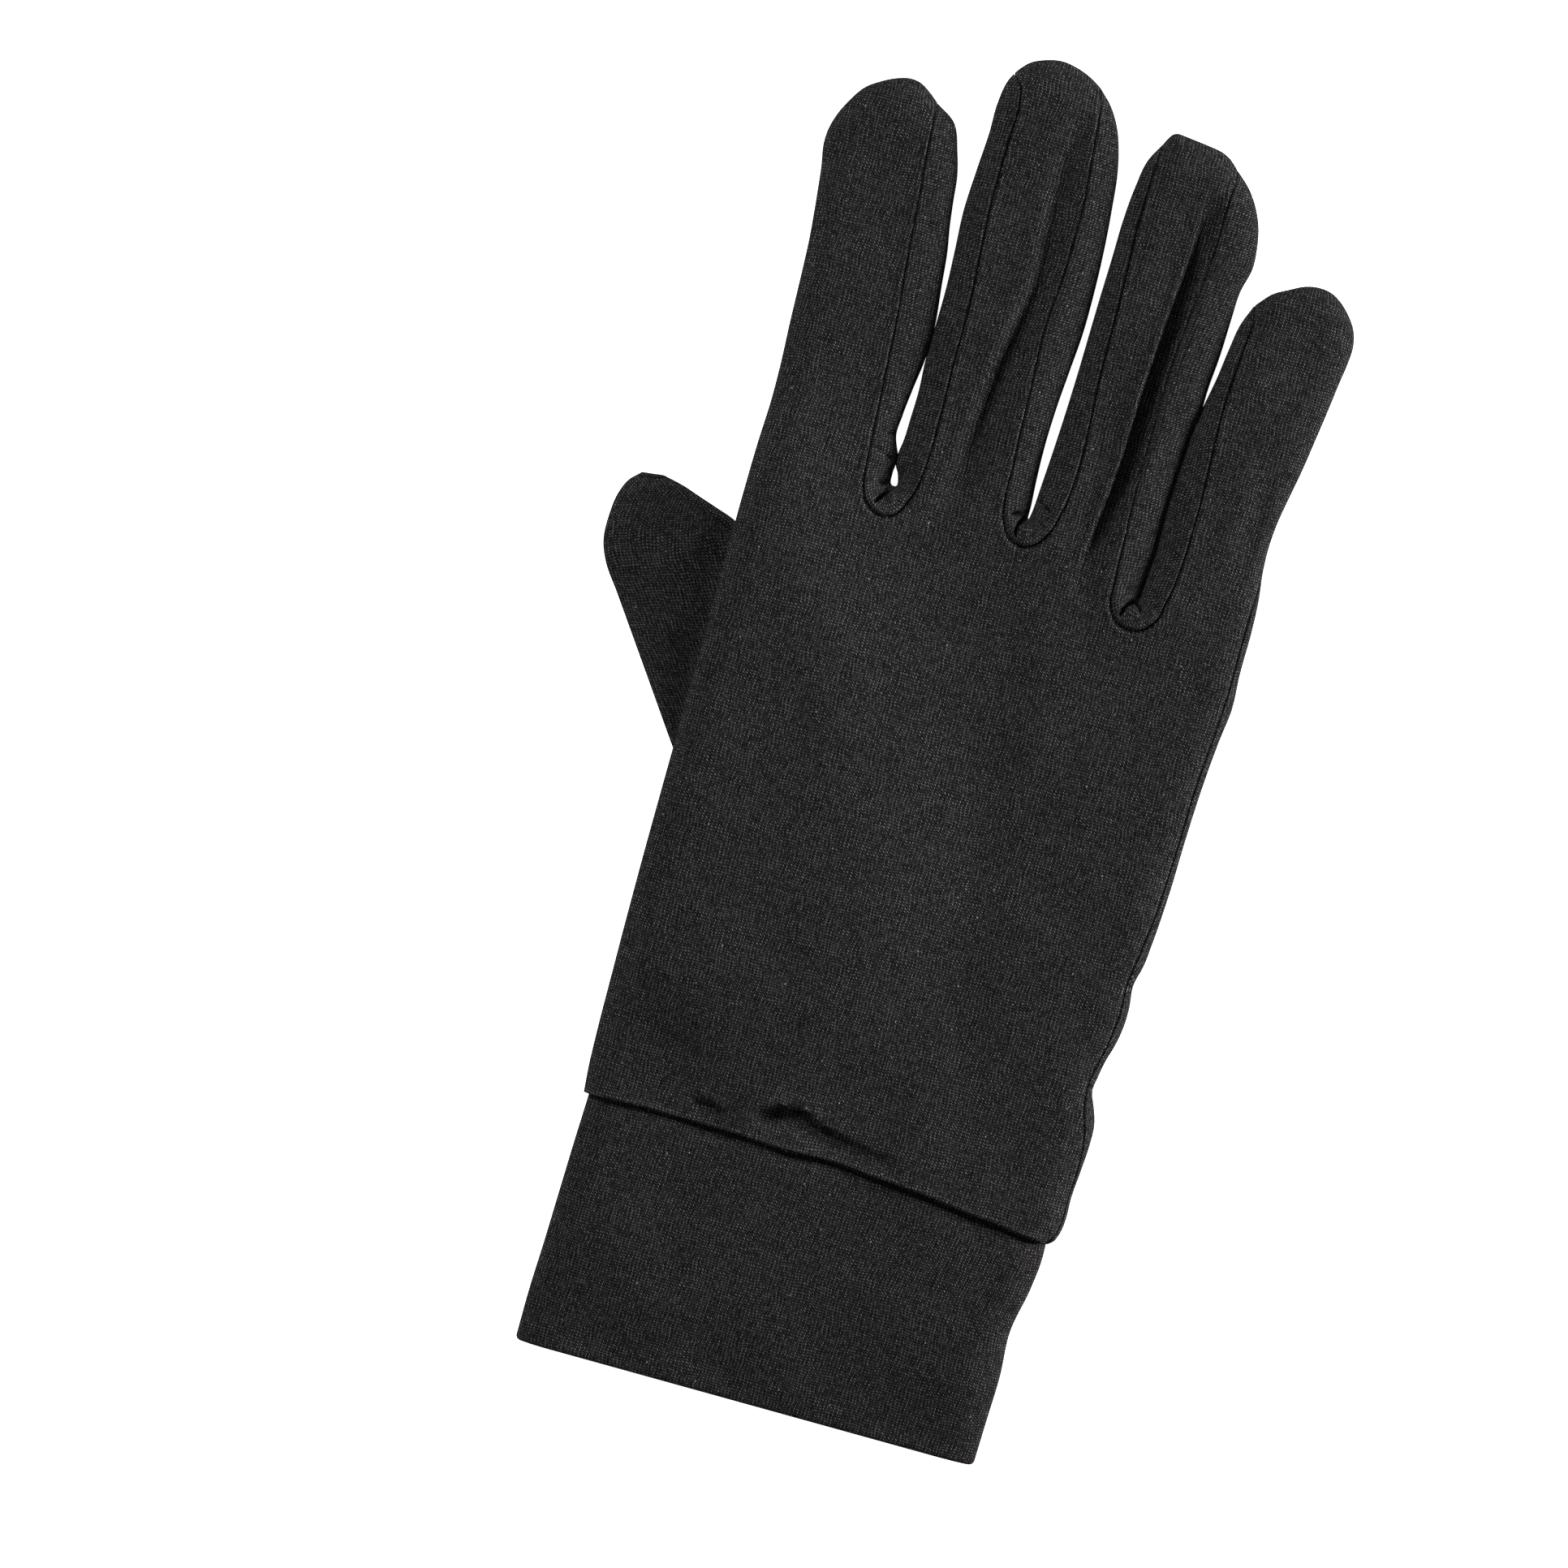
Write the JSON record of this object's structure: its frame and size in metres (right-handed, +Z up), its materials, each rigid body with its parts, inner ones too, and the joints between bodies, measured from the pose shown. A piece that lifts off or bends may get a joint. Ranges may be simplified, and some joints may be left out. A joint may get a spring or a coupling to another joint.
{
  "type": "wool glove",
  "caption": "Fine-knit wool glove for the right hand, back up, with strips between the fingers, a thumb folded under the palm and a doubled cuff.",
  "frame": {"origin": "centre of the glove's footprint, on the surface it lies on", "axes": "+Y along the glove towards the fingertips, +X towards the little-finger side, +Z up, from palm to back"},
  "size_m": [0.1228, 0.251, 0.0117],
  "materials": {
    "knit": "charcoal melange fine jersey knit",
    "cuff_knit": "charcoal melange doubled jersey knit"
  },
  "bodies": {
    "root": {"back": "knit", "palm": "knit", "fourchette_index_middle": "knit", "fourchette_middle_ring": "knit", "fourchette_ring_little": "knit", "thumb": "knit", "cuff": "cuff_knit"}
  },
  "joints": []
}
